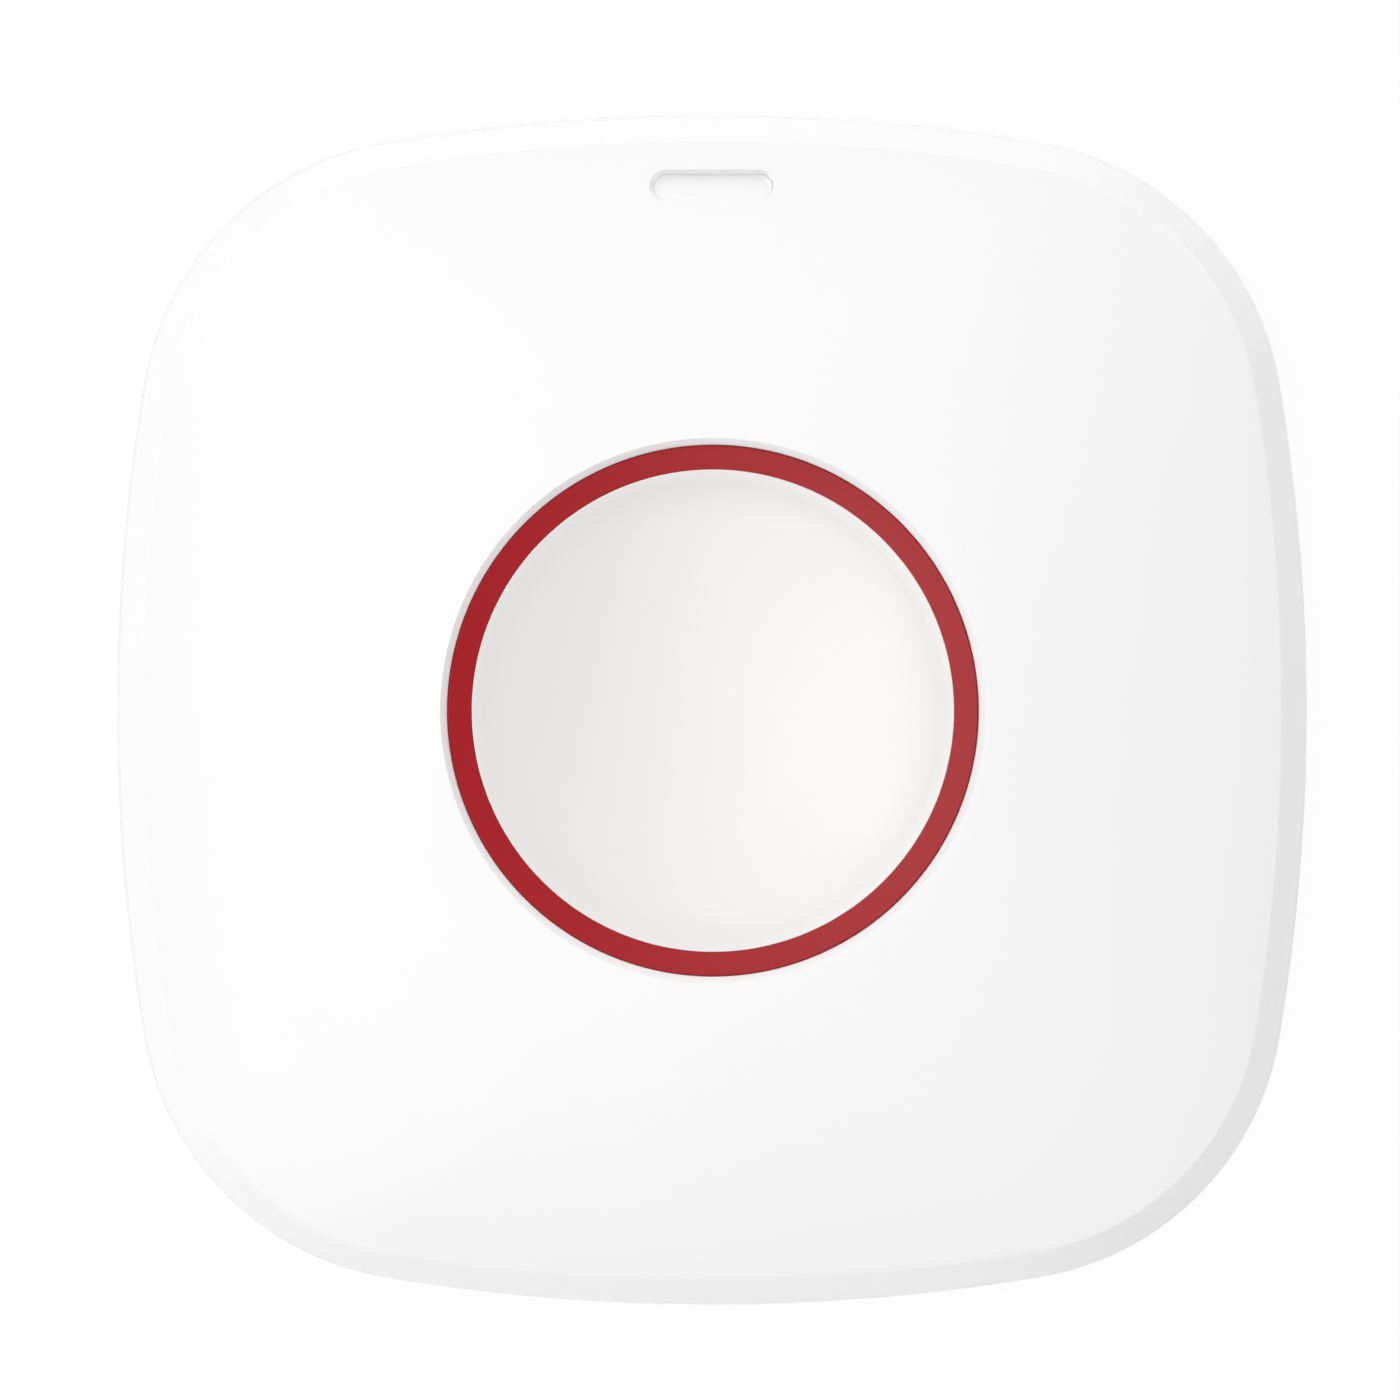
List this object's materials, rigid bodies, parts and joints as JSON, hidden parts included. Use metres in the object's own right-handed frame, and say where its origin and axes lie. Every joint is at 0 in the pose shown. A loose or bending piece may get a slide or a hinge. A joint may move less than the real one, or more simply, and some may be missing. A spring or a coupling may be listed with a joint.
{
  "type": "wireless panic button",
  "caption": "Rounded-square wireless panic button: domed housing on a slide-off wall bracket, dished push cap in a coloured ring, light slot, turn-off battery door.",
  "frame": {"origin": "centre of the bracket's mounting face", "axes": "+Z out of the face, against the press; +Y up the wall, towards the indicator slot"},
  "size_m": [0.078, 0.078, 0.022],
  "materials": {
    "cover_white": "moulded ABS with a fine spark-eroded grain",
    "back_white": "plain moulded ABS, slightly less polished than the front",
    "cap_white": "warm white satin moulding",
    "ring_red": "muted red satin moulding",
    "pipe_frosted": "frosted clear acrylic",
    "inner_plastic": "plain grey-white structural moulding",
    "black_plastic": "matt black engineering plastic",
    "stem_plastic": "natural acetal",
    "board_green": "green solder mask over glass fibre",
    "tinned_metal": "tinned pressed sheet",
    "spring_steel": "bright spring wire",
    "screw_steel": "zinc plated steel",
    "cell_steel": "nickel plated can",
    "aerial_copper": "enamelled copper wire",
    "chip_ceramic": "chip parts of mixed ceramic",
    "led_lens": "translucent epoxy"
  },
  "bodies": {
    "bracket": {"wall_bracket": "back_white"},
    "housing": {"rear_cover": "back_white", "front_cover": "cover_white", "light_pipe": "pipe_frosted", "button_frame": "inner_plastic", "battery_holder": "black_plastic", "switch_body": "black_plastic", "tamper_switch_body": "black_plastic", "switch_cover_plate": "tinned_metal", "radio_shield": "tinned_metal", "crystal": "tinned_metal", "positive_contact": "tinned_metal", "negative_contact": "tinned_metal", "coin_cell": "cell_steel", "circuit_board": "board_green", "radio_board": "board_green", "board_screws": "screw_steel", "case_screws": "screw_steel", "return_springs": "spring_steel", "antenna_coil": "aerial_copper", "controller_chip": "black_plastic", "capacitor": "tinned_metal", "board_components": "chip_ceramic", "indicator_led": "led_lens"},
    "button": {"button_cap": "cap_white", "button_ring": "ring_red", "button_carrier": "inner_plastic", "button_screws": "screw_steel"},
    "switch": {"switch_stem": "stem_plastic"},
    "door": {"battery_door": "back_white"},
    "tamper": {"tamper_plunger": "stem_plastic"}
  },
  "joints": [
    {"name": "housing_slide", "type": "slide", "parent": "bracket", "child": "housing", "axis": [0, 1, 0], "range_m": [0, 0.005]},
    {"name": "button_press", "type": "slide", "parent": "housing", "child": "button", "axis": [0, 0, -1], "range_m": [0, 0.0005], "stiffness_N_per_m": 800, "springref_m": -0.002, "deforming": ["return_springs"]},
    {"name": "switch_press", "type": "slide", "parent": "housing", "child": "switch", "axis": [0, 0, -1], "range_m": [0, 0.0005]},
    {"name": "door_turn", "type": "hinge", "parent": "housing", "child": "door", "pos_m": [0, -0.007, 0.002], "axis": [0, 0, 1], "range_deg": [0, 40]},
    {"name": "tamper_press", "type": "slide", "parent": "housing", "child": "tamper", "axis": [0, 0, -1], "range_m": [0, 0.001]}
  ],
  "couplings": [
    {"joint": "switch_press", "follows": "button_press", "ratio": 1},
    {"joint": "tamper_press", "follows": "housing_slide", "ratio": 0.2}
  ]
}
